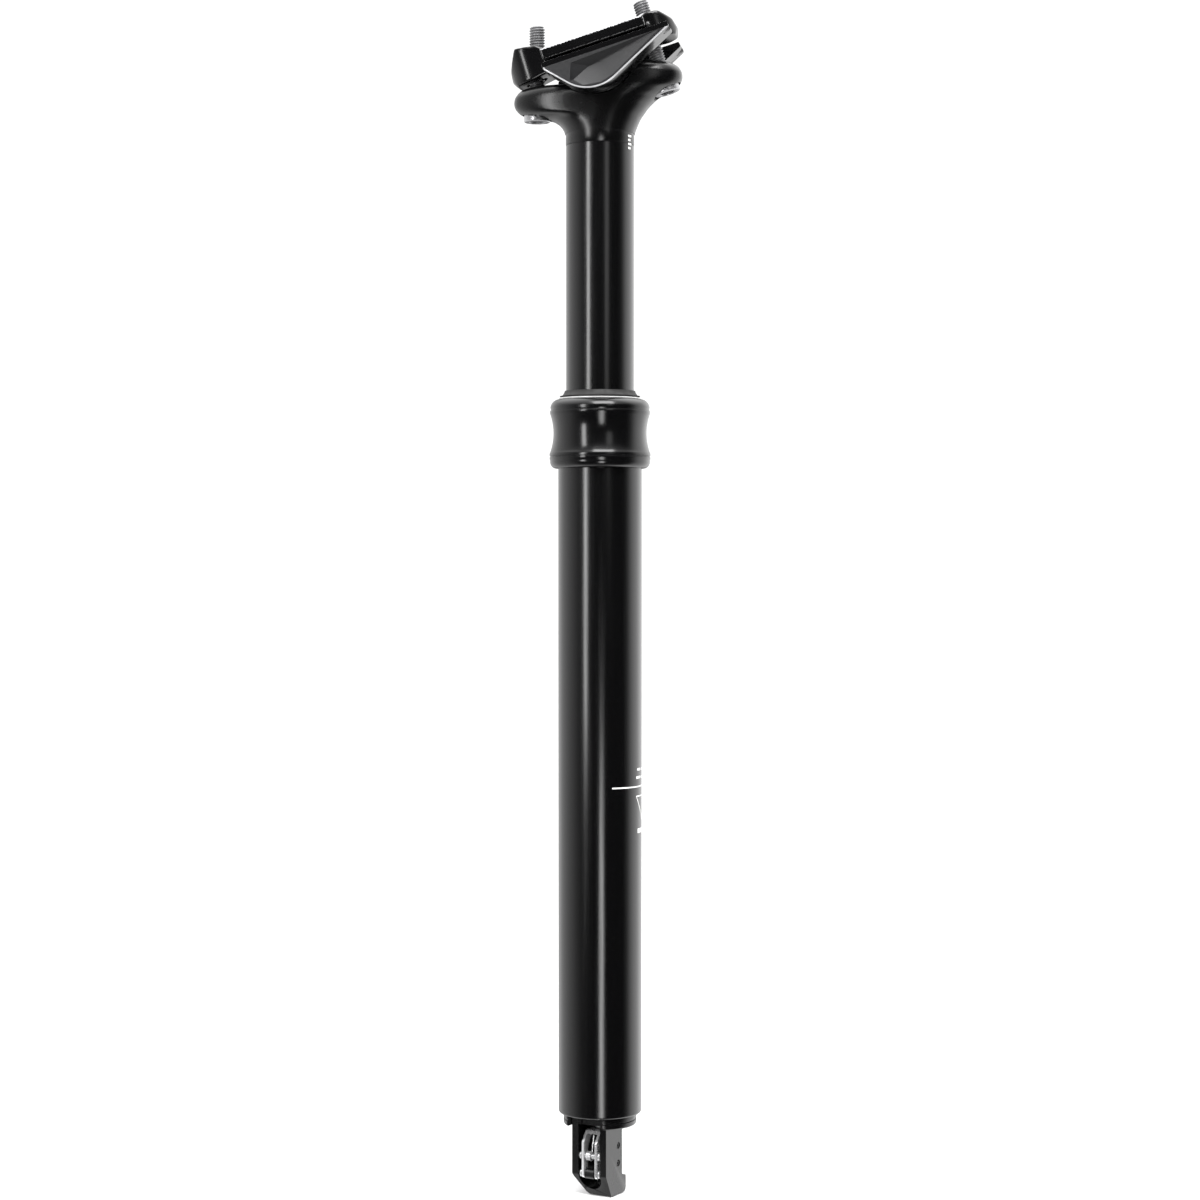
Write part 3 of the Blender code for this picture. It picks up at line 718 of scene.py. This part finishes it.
def make_head():
    bottom = extent("head")[0].z
    tube_top = extent("stanchion")[1]
    neck, shoulder = tube_top.x + 0.1, tube_top.z + 0.3
    plug, valve_bore, saddle = 11.0, 4.3, 15.5
    head = head_blank()
    join(head, lathe("neck", [(0, 136.0), (neck - 0.02, 136.0), (neck - 0.02, 119.0), (0, 119.0)]))
    forged(head, 0.5)
    cut(head, prism("trim", [(-20, -20), (20, -20), (20, 20), (-20, 20)], 110.0, shoulder + 4.0))
    stub = [(0, 127.0), (neck, 127.0), (neck, shoulder - 0.1), (neck - 0.12, shoulder - 0.25)]
    stub += [(plug, shoulder - 0.25), (plug, bottom), (0, bottom)]
    join(head, lathe("stub", stub))
    cradle_place = Matrix.Translation(TILT_AXIS) @ ACROSS
    cut(head, pin("saddle", saddle, -20, 20, 0.0, cradle_place, ROUND_STEPS))
    cut(head, pin("valve_bore", valve_bore, 100.0, 150.0, 0.0))
    for end in ("front", "rear"):
        place = screw_place(end)
        cut(head, pin("slot", 3.8, -1.0, 20.0, 0.0, place))
        cut(head, pin("counterbore", 5.7, -12.0, 2.3, 0.4, place, MID_STEPS))
    piece(head, "post", HEAD_BLACK, "black_gloss", "head", angle=40.0)
    make_neck_marks(neck)


def make_neck_marks(radius):
    """Plain printed ticks up the neck, beside the rear, where the real post carries lettering."""
    for i in range(4):
        height = 124.4 - i * 1.5
        tick = band(-27, -17 - 3 * (i % 2), height - 0.4, height + 0.4)
        mark = curved_mark(f"neck_tick_{i}", tick, radius + 0.03)
        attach(mark, "post")


RIM_STEPS = ((0.0, 0.5), (0.15, 0.15), (0.5, 0.0))  # inset and depth of the side plate's rounded rim


def make_cradle():
    outer, inner, belly = extent("cradle")[1].y, 14.0, 15.2
    plate = [(29.4, -0.35), (-18.8, -0.35)] + arc(-18.3, -1.2, 1.0, 120, 195, 5) + [(-18.9, -3.2)]
    plate += arc(-1.0, 0.0, belly, 225, 295, 28) + arc(28.7, -1.6, 1.0, -62, 40, 6)
    step = [(-20.0, -2.3), (32.0, -2.3), (32.0, 1.0), (-20.0, 1.0)]
    sides = []
    for side in (-1, 1):
        points = [(x, z, -side * inner) for x, z in plate]
        for amount, depth in RIM_STEPS:
            points += [(x, z, -side * (outer - depth)) for x, z in inset(plate, amount)]
        wedge = hull(f"cradle_plate_{side}", points, RAILS_UPRIGHT)
        paint_plate(wedge, outer)
        cut(wedge, pocket_cutter(side, outer))
        shallow, past = sorted((side * (outer - 0.45), side * (outer + 1.0)))
        cut(wedge, prism("top_step", step, -past, -shallow, RAILS_UPRIGHT))
        sides.append(wedge)
    middle = prism("cradle_middle", arc(0.0, 0.0, belly, 200, 340, 49), -16.0, 16.0, RAILS_UPRIGHT)
    take_paints(middle, CRADLE_PAINTS)
    tray = [(-10, -11.5), (10, -11.5), (10, 11.5), (-10, 11.5)]
    cut(middle, prism("tray", tray, -10.0, 10.0, RAILS))
    cradle = join(join(middle, sides[0]), sides[1])
    web = [(-18.0, -0.8), (-9.0, -0.8), (-9.0, -11.0), (-13.0, -5.6), (-17.4, -2.2)]
    join(cradle, prism("front_web", web, -14.5, 14.5, RAILS_UPRIGHT))
    cut_rail_channels(cradle)
    cradle.name = "rail_cradle"
    piece(cradle, "lower_clamp", GLOSS_BLACK, "black_gloss", "cradle", angle=28.0)


def paint_plate(wedge, outer):
    """Blasts the plate's outer face and paints a highlight on its rounded rim: pale grey standing in for the
    light the rim catches.
    """
    take_paints(wedge, CRADLE_PAINTS)
    rim_depth, flat, edge_on = 1.2, 0.97, 0.2
    across = RAILS.to_3x3().col[1].normalized()
    # Flat outer faces are blasted; the rounded rim's faces get the pale grey painted highlight
    for face in wedge.data.polygons:
        turned = abs(face.normal.dot(across))
        if abs(face.center.y) < (outer - rim_depth) * MM:
            continue
        if turned > flat:
            face.material_index = CRADLE_PAINTS.index(BLASTED_BLACK)
        elif turned > edge_on:
            face.material_index = CRADLE_PAINTS.index(RIM_HIGHLIGHT)


def pocket_cutter(side, outer):
    """The side plate's pocket: a steep front wall, a long upper wall and a floor rising to the lower rim."""
    rim = [(-8.6, -3.9), (-10.9, -10.1), (-6.5, -13.1), (0.0, -14.0), (4.6, -12.9)]
    rim += [(24.6, -3.1), (25.2, -2.3)]
    floor = [(-2.9, -6.6, -2.6), (2.0, -6.4, -2.3), (12.0, -4.6, -1.4), (-9.6, -9.9, -1.2)]
    points = [(x, z, h) for x, z in rim for h in (1.0, -0.15)] + floor
    cutter = hull(f"pocket_{side}", [(x, z, -side * (outer + h)) for x, z, h in points], RAILS_UPRIGHT)
    for face in cutter.data.polygons:
        face.material_index = CRADLE_PAINTS.index(BLASTED_BLACK)
    return cutter


def make_clamp():
    wing, lug = extent("clamp")[1].y - 0.2, 9.0
    wings = [(21.6, wing), (-18.4, wing), (-18.4, -wing), (21.6, -wing)]
    clamp = prism("clamp_wings", wings, 0.5, 4.7, RAILS)
    window = [(-11.0, -17.2), (13.5, -17.2), (13.5, 17.2), (-11.0, 17.2)]
    cut(clamp, prism("window", window, -1.0, 10.0, RAILS))
    front = [(-29.4, 12.2), (-20.6, 10.6), (-15.0, 5.2), (-14.0, 0.3)]
    front += [(-26.0, -1.4), (-32.4, -1.3), (-34.2, 1.2), (-33.6, 5.0)]
    front_end = [(-12.0, lug)] + arc(-25.2, 0.0, lug, 90, 270, 24) + [(-12.0, -lug)]
    rear = [(15.0, 4.9), (19.0, 8.2), (22.0, 9.4), (26.5, 8.8), (30.4, 5.2)]
    rear += [(31.4, 1.4), (30.2, -1.2), (26.0, -1.2), (15.0, 0.5)]
    rear_end = [(12.0, -lug)] + arc(22.4, 0.0, lug, -90, 90, 24) + [(12.0, lug)]
    for name, outline, round_end in (("front_lug", front, front_end), ("rear_lug", rear, rear_end)):
        blank = prism(name, outline, -10.0, 10.0, RAILS_UPRIGHT)
        join(clamp, keep_common(blank, prism("round_end", round_end, -10.0, 20.0, RAILS)))
    forged(clamp, 0.4)
    cut_rail_channels(clamp)
    for end in ("front", "rear"):
        cut(clamp, pin("nut_bore", 4.6, -20.0, 7.0, 0.0, nut_place(end), MID_STEPS))
        cut(clamp, pin("lug_slot", 4.0, 4.0, 60.0, 0.0, screw_place(end), MID_STEPS))
    clamp.name = "rail_clamp"
    take_paints(clamp, CLAMP_PAINTS)
    # Upward, outward faces along the wings' outer edges take the pale grey painted highlight, where light
    # falls on the top edge
    across, upward = RAILS.to_3x3().col[1], RAILS.to_3x3().col[2]
    rim_from = 24.8
    for face in clamp.data.polygons:
        outward = abs(face.normal.dot(across)) > 0.2 and face.normal.dot(upward) > 0.15
        rim_highlight_face = outward and abs(face.center.y) > rim_from * MM
        face.material_index = CLAMP_PAINTS.index(RIM_HIGHLIGHT if rim_highlight_face else GLOSS_BLACK)
    piece(clamp, "upper_clamp", GLOSS_BLACK, "black_gloss", "clamp", angle=40.0)


def thread(name, radius, pitch, low, high, place):
    """A shank with a real helical thread, whose ridge climbs by the pitch once a turn, and a tapered tip."""
    steps, per_pitch, depth, tip = 40, 10, 0.55, 0.8
    count = int((high - low) / pitch * per_pitch)
    bm = bmesh.new()
    rings = []
    for row in range(count + 1):
        height = low + (high - low) * row / count
        taper = min(1.0, (high - height) / tip)
        ring_of = []
        for i in range(steps):
            phase = (height / pitch - i / steps) % 1.0
            groove = min(1.0, max(0.0, 2.6 * abs(phase - 0.5) - 0.15))
            r = radius - depth * groove - 0.5 * (1.0 - taper)
            ring_of.append(ring_vertex(bm, r, 2 * math.pi * i / steps, height))
        rings.append(ring_of)
    return stack(name, bm, rings, place)


def make_screws():
    head_low, head_high, tip = -4.4, -0.4, 31.6
    thread_radius, pitch = 2.97, 1.0
    head = [(0, head_high + 0.4), (2.9, head_high + 0.4), (2.9, head_high), (4.9, head_high)]
    head += [(5.0, head_high - 0.1)] + arc(4.5, head_low + 0.5, 0.5, 0, -90, 6) + [(0, head_low)]
    mouth = [(0, head_low + 0.35), (3.0, head_low + 0.25), (3.3, head_low - 0.5), (0, head_low - 0.5)]
    washer = [(2.95, 2.0), (3.6, 2.0)] + arc(3.9, 0.7, 1.3, 75, 0, 8)
    washer += [(5.2, 0.0), (5.1, -0.1), (2.95, -0.1)]
    for end in ("front", "rear"):
        place = screw_place(end)
        top = lathe(end + "_screw_head", head, place, FINE_STEPS)
        cut(top, pin("socket", 3.0, head_low - 1.0, head_low + 2.6, 0.0, place, HEXAGON))
        cut(top, lathe("socket_mouth", mouth, place, SMALL_STEPS))
        piece(top, end + "_screw", STEEL, "steel", end + "_bolt", angle=30.0)
        shank = thread(end + "_screw_thread", thread_radius, pitch, head_high + 0.3, tip, place)
        piece(shank, end + "_screw", THREAD_STEEL, "steel", angle=180.0)
        seat = lathe(end + "_seat_washer", washer, place, FINE_STEPS)
        piece(seat, end + "_seat", STEEL, "steel", end + "_washer")
        nut = pin(end + "_barrel", 4.3, -8.3, 6.7, 0.4, nut_place(end), FINE_STEPS)
        cut(nut, pin("nut_hole", 3.45, -20.0, 60.0, 0.0, place, MID_STEPS))
        piece(nut, end + "_barrel_nut", STEEL, "steel", end + "_nut")


# Foot, cage and release lever


def make_foot():
    low, high = extent("foot_cap")
    flange, plug, groove, top = 13.9, 13.8, 12.4, extent("outer_tube")[0].z - 0.3
    outline = [(10.0, high.z), (10.0, -225.0), (plug, -229.0), (plug, -238.3), (groove, -238.6)]
    outline += [(groove, -241.0), (plug, -241.2), (plug, top + 0.3), (flange, top)]
    outline += [(flange, -246.2), (flange - 0.45, -246.45), (flange - 0.45, -246.8), (flange, -247.05)]
    outline += arc(flange - 0.9, low.z + 0.9, 0.9, 0, -90, 6)
    outline += [(2.5, low.z), (2.5, -204.3), (5.3, -204.3), (5.3, high.z)]
    cap = lathe("foot_cap_turned", outline)
    notch = [(-7.75, -20.0), (7.75, -20.0), (7.75, -5.2), (-7.75, -5.2)]
    cut(cap, prism("notch", notch, low.z - 1.0, top + 0.5, CAGE))
    piece(cap, "outer", SATIN_BLACK, "black_anodised", "foot_cap")
    rod_low, rod_high = extent("piston_rod")
    stem = [(3.2, rod_high.z), (3.5, rod_high.z - 0.3), (3.5, -68.3), (5.0, -68.3), (5.0, rod_low.z)]
    rod = lathe("hollow_rod", stem + [(2.2, rod_low.z), (2.2, rod_high.z)], steps=MID_STEPS)
    piece(rod, "outer", BRIGHT, "steel", "piston_rod")
    pin_low, pin_high = extent("push_rod")
    push_rod = pin("valve_push_rod", 1.9, pin_low.z, pin_high.z, 0.3)
    piece(push_rod, "push", STEEL, "steel", "push_rod")


def make_cage():
    width, front, back, window_half = 7.45, 8.3, -3.9, 4.8
    top, bottom = extent("foot_cap")[0].z - 0.3, extent("actuator_cage")[0].z
    edge = [(front, top), (front, bottom + 9.5)] + arc(6.9, bottom + 8.6, 1.4, 0, -30, 4) + [(4.2, bottom)]
    edge += [(-4.6, bottom)] + arc(-5.0, bottom + 1.8, 1.8, -90, -180, 6) + [(-6.8, bottom + 5.6)]
    edge += arc(-6.3, bottom + 5.9, 0.5, 180, 90, 3)
    edge += [(back - 0.6, bottom + 6.6), (back, bottom + 7.4), (back, top)]
    cage = prism("cage_body", edge, -width, width, CAGE_EDGE)
    face = [(width, top + 1.5), (-width, top + 1.5), (-width, bottom + 8.3), (-7.2, bottom + 7.3)]
    face += [(-3.4, bottom + 1.1), (-2.5, bottom + 0.3), (-1.2, bottom - 0.4), (width, bottom - 0.4)]
    keep_common(cage, prism("cage_front", face, -20.0, 20.0, CAGE_FACE))
    for side in (-1, 1):
        inner, outer = sorted((side * 4.9, side * width))
        post = [(inner, -front + 0.02), (outer, -front + 0.02), (outer, -5.6), (inner, -5.6)]
        join(cage, prism("post", post, -256.0, -245.2, CAGE))
    window = [(window_half, -240.0), (-window_half, -240.0)]
    window += arc(0.0, bottom + 7.1, window_half, 180, 360, 28)
    cut(cage, prism("window", window, -2.2, 20.0, CAGE_FACE))
    bevelled(cage, 0.5, 3, 40.0)
    cut(cage, pin("pivot_hole", PIN_HOLE, -6.9, 6.9, 0.0, PIVOT_PIN))
    for node in ("cage_screw_upper", "cage_screw_lower"):
        low, high = extent(node)
        side = CAGE @ Matrix.Translation((0, 1.0 * MM, ((low + high) / 2).z * MM)) @ ALONG
        cut(cage, pin("screw_hole", 1.25, 5.1, 9.0, 0.0, side))
        screw = pin(node + "_turned", 1.0, 5.4, 7.2, 0.2, side)
        cut(screw, pin("socket", 0.6, 6.3, 8.0, 0.0, side, HEXAGON))
        piece(screw, "outer", SATIN_BLACK, "black_anodised", node)
    piece(cage, "outer", SATIN_BLACK, "black_anodised", "actuator_cage")


def make_lever():
    gap_half, plate = 2.3, 1.0
    outline = arc(6.6, -267.3, 1.6, -180, 0, 12) + [(8.15, -255.6)] + arc(7.4, -255.2, 0.75, 0, 45, 4)
    outline += [(5.2, -251.2)] + arc(4.6, -251.7, 0.8, 60, 95, 3)
    outline += [(-1.0, -250.9), (-1.0, -252.2), (1.8, -252.6), (4.9, -257.2)]
    outer = gap_half + plate
    lever = bevelled(prism("lever_fork", outline, -outer, outer, CAGE_EDGE), 0.15, 2, 50.0)
    gap = [(-gap_half, -12.0), (gap_half, -12.0), (gap_half, 0.0), (-gap_half, 0.0)]
    cut(lever, prism("fork_gap", gap, -275.0, -252.2, CAGE))
    cut(lever, pin("pivot_eye", PIN_HOLE, -5.0, 5.0, 0.0, PIVOT_PIN))
    cut(lever, pin("barrel_eye", PIN_HOLE, -5.0, 5.0, 0.0, BARREL_PIN))
    piece(lever, "lever", BRIGHT, "steel", "release_lever")
    shank, reach = 1.0, 6.6
    head, cap = 1.6, outer + 1.2
    pivot = [(0, reach), (0.9, reach), (shank, reach - 0.1), (shank, cap), (head - 0.3, cap)]
    pivot += [(head, cap - 0.3), (head, outer + 0.3), (shank, outer + 0.3)]
    head, cap = 1.5, outer + 1.1
    rivet = [(0, cap + 0.15), (head - 0.6, cap + 0.1), (head, cap - 0.3), (head, outer + 0.3)]
    rivet += [(shank, outer + 0.3)]
    for name, half, place, body, node in (
        ("pivot_riveted", pivot, PIVOT_PIN, "outer", "lever_pivot"),
        ("barrel_riveted", rivet, BARREL_PIN, "barrel", "barrel_pin"),
    ):
        both = half + [(r, -z) for r, z in reversed(half)]
        piece(lathe(name, both, place, SMALL_STEPS), body, BRIGHT, "silver", node)
    long = gap_half - 0.3
    barrel = tube("cable_barrel_turned", PIN_HOLE, 2.0, -long, long, 0.15, BARREL_PIN, MID_STEPS)
    piece(barrel, "barrel", SATIN_BLACK, "black_anodised", "cable_barrel")
    make_return_spring()


def make_return_spring():
    """A torsion spring: closed coils round the pivot and a leg that rests under the fork's bridge."""
    coil_radius, wire_radius, turns, per_turn, start, length = 1.6, 0.24, 4, 16, -1.55, 1.9
    curve = bpy.data.curves.new("return_spring_coil", "CURVE")
    curve.dimensions = "3D"
    curve.bevel_depth = wire_radius * MM
    curve.bevel_resolution = 3
    curve.use_fill_caps = True
    points = []
    for i in range(turns * per_turn + 1):
        a = 2 * math.pi * i / per_turn + math.pi
        along = start + length * i / (turns * per_turn)
        points.append(Vector((coil_radius * math.cos(a), coil_radius * math.sin(a), along)))
    end = points[-1]
    points += [end + Vector((-2.0, 0.2, 0.1)), end + Vector((-4.4, 0.5, 0.3)), end + Vector((-6.2, 0.7, 0.4))]
    spline = curve.splines.new("POLY")
    spline.points.add(len(points) - 1)
    for point, place in zip(spline.points, points):
        point.co = (*(PIVOT_PIN @ (place * MM)), 1.0)
    drawn = bpy.data.objects.new("return_spring_coil", curve)
    bpy.context.scene.collection.objects.link(drawn)
    mesh = evaluated_mesh(drawn)
    bpy.data.objects.remove(drawn, do_unlink=True)
    spring = add("return_spring_wound", mesh)
    piece(spring, "outer", BRIGHT, "silver", "return_spring", angle=50.0)


def dress_frame_nodes():
    """The frame's own solids that stay: the gland, the valve and its cap."""
    looks = {"cartridge_gland": ALUMINIUM, "valve_body": BRASS, "valve_core": BRASS, "valve_cap": SATIN_BLACK}
    for node, material in looks.items():
        obj = frame["nodes"][node]
        obj.data.materials.clear()
        obj.data.materials.append(material)
        shaded(obj)


# Studio

CAMERA_DISTANCE = 0.9855
CAMERA_AZIMUTH = math.radians(8.0)
CAMERA_HEIGHT = -0.0271
CAMERA_PITCH = math.radians(1.32)
LENS = 78.0
SENSOR_WIDTH = 36.0


def make_camera():
    data = bpy.data.cameras.new("Camera")
    data.lens = LENS
    data.sensor_width = SENSOR_WIDTH
    data.clip_start = 0.01
    camera = bpy.data.objects.new("Camera", data)
    bpy.context.scene.collection.objects.link(camera)
    sine, cosine = math.sin(CAMERA_AZIMUTH), math.cos(CAMERA_AZIMUTH)
    camera.location = (CAMERA_DISTANCE * sine, -CAMERA_DISTANCE * cosine, CAMERA_HEIGHT)
    camera.rotation_euler = (math.radians(90) - CAMERA_PITCH, 0.0, CAMERA_AZIMUTH)
    bpy.context.scene.camera = camera


def make_floor():
    size, gap = 6.0, 0.0004
    bm = bmesh.new()
    bmesh.ops.create_grid(bm, x_segments=2, y_segments=2, size=size)
    floor = from_bmesh("studio_floor", bm, Matrix.Translation((0, 0, cad_box[0][2] - gap)))
    pale, paler = (0.93, 0.93, 0.93), (0.95, 0.95, 0.95)
    made = Shader("floor_paper", paler, 0.9, 0.0)
    made.set("Base Color", made.mix(made.noise(0.02), paler, pale))
    floor.data.materials.append(made.material)
    floor.visible_glossy = False


def strip_light(name, azimuth, height, distance, size, power):
    """A soft box facing the post. Its azimuth is in degrees round from the camera, positive to the right."""
    a = CAMERA_AZIMUTH + math.radians(azimuth)
    data = bpy.data.lights.new(name, "AREA")
    data.shape = "RECTANGLE"
    data.size, data.size_y = size
    data.energy = power
    light = bpy.data.objects.new(name, data)
    bpy.context.scene.collection.objects.link(light)
    light.location = (distance * math.sin(a), -distance * math.cos(a), height)
    target = Vector((0, 0, height * 0.4 - 0.05))
    light.rotation_euler = (target - light.location).to_track_quat("-Z", "Y").to_euler()


# Brightness of the studio's walls, which only reflections see, by azimuth as for the lights
WALLS = (
    (-180, 0.04),
    (-160, 0.42),
    (-137, 0.56),
    (-106, 0.50),
    (-83, 0.34),
    (-62, 0.11),
    (-47, 0.02),
    (-28, 0.005),
    (45, 0.0),
    (66, 0.0),
    (74, 0.03),
    (83, 0.18),
    (95, 0.60),
    (106, 0.80),
    (137, 0.88),
    (160, 0.60),
    (180, 0.04),
)
WALL_STRENGTH = 2.5
CEILING_STRENGTH = 3.0
END_GREY = 0.3  # of the floor and ceiling's brightness, straight down
BLACK_BAND = (0.14, 0.72)  # where neither is seen, from straight down (0) to straight up (1)
BACKDROP_STRENGTH = 1.12


def make_light():
    strip_light("left_strip", -40.0, 0.24, 1.5, (0.26, 1.1), 10.5)
    strip_light("low_box", 4.0, -0.70, 1.4, (0.26, 0.75), 6.0)
    strip_light("right_box", 23.0, 0.43, 1.5, (0.34, 0.66), 1.1)
    strip_light("top_box", 10.0, 1.25, 0.9, (1.1, 0.8), 34.0)
    world = bpy.data.worlds.new("studio")
    bpy.context.scene.world = world
    world.use_nodes = True
    tree = world.node_tree
    background = tree.nodes["Background"]

    def node(kind, **settings):
        made = tree.nodes.new(kind)
        for key, value in settings.items():
            setattr(made, key, value)
        return made

    place = node("ShaderNodeTexCoord").outputs["Generated"]
    turn = node("ShaderNodeMapping")
    turn.inputs["Rotation"].default_value = (0.0, 0.0, math.radians(90) - CAMERA_AZIMUTH)
    tree.links.new(place, turn.inputs["Vector"])
    round_post = node("ShaderNodeTexGradient", gradient_type="RADIAL")
    tree.links.new(turn.outputs["Vector"], round_post.inputs["Vector"])
    walls = node("ShaderNodeValToRGB")
    stops = walls.color_ramp.elements
    for degrees, value in WALLS[1:-1]:
        stops.new(0.5 + degrees / 360.0).color = (value, value, value, 1.0)
    for stop, (_, value) in ((stops[0], WALLS[0]), (stops[-1], WALLS[-1])):
        stop.color = (value, value, value, 1.0)
    tree.links.new(round_post.outputs["Fac"], walls.inputs["Fac"])
    split = node("ShaderNodeSeparateXYZ")
    tree.links.new(place, split.inputs["Vector"])
    ends = node("ShaderNodeValToRGB")
    ends.color_ramp.elements[0].color = (END_GREY, END_GREY, END_GREY, 1.0)
    for edge_of_black in BLACK_BAND:
        ends.color_ramp.elements.new(edge_of_black).color = (0.0, 0.0, 0.0, 1.0)
    halved = node("ShaderNodeMath", operation="MULTIPLY_ADD")
    tree.links.new(split.outputs["Z"], halved.inputs[0])
    halved.inputs[1].default_value = 0.5
    halved.inputs[2].default_value = 0.5
    tree.links.new(halved.outputs["Value"], ends.inputs["Fac"])
    lifted = node("ShaderNodeMath", operation="MULTIPLY")
    tree.links.new(ends.outputs["Color"], lifted.inputs[0])
    lifted.inputs[1].default_value = CEILING_STRENGTH
    reflected = node("ShaderNodeMath", operation="MULTIPLY_ADD")
    tree.links.new(walls.outputs["Color"], reflected.inputs[0])
    reflected.inputs[1].default_value = WALL_STRENGTH
    tree.links.new(lifted.outputs["Value"], reflected.inputs[2])
    rays = node("ShaderNodeLightPath")
    glossy = node("ShaderNodeMix")
    tree.links.new(rays.outputs["Is Glossy Ray"], glossy.inputs["Factor"])
    glossy.inputs["A"].default_value = BACKDROP_STRENGTH
    tree.links.new(reflected.outputs["Value"], glossy.inputs["B"])
    tree.links.new(glossy.outputs["Result"], background.inputs["Strength"])
    background.inputs["Color"].default_value = (1.0, 1.0, 1.0, 1.0)
    view = bpy.context.scene.view_settings
    view.view_transform = "Standard"
    view.look = "None"


make_camera()
make_floor()
make_light()
make_lower_tube()
make_collar()
make_wiper()
make_sliding_tube()
make_turned_inside()
make_head()
make_cradle()
make_clamp()
make_screws()
make_foot()
make_cage()
make_lever()
dress_frame_nodes()
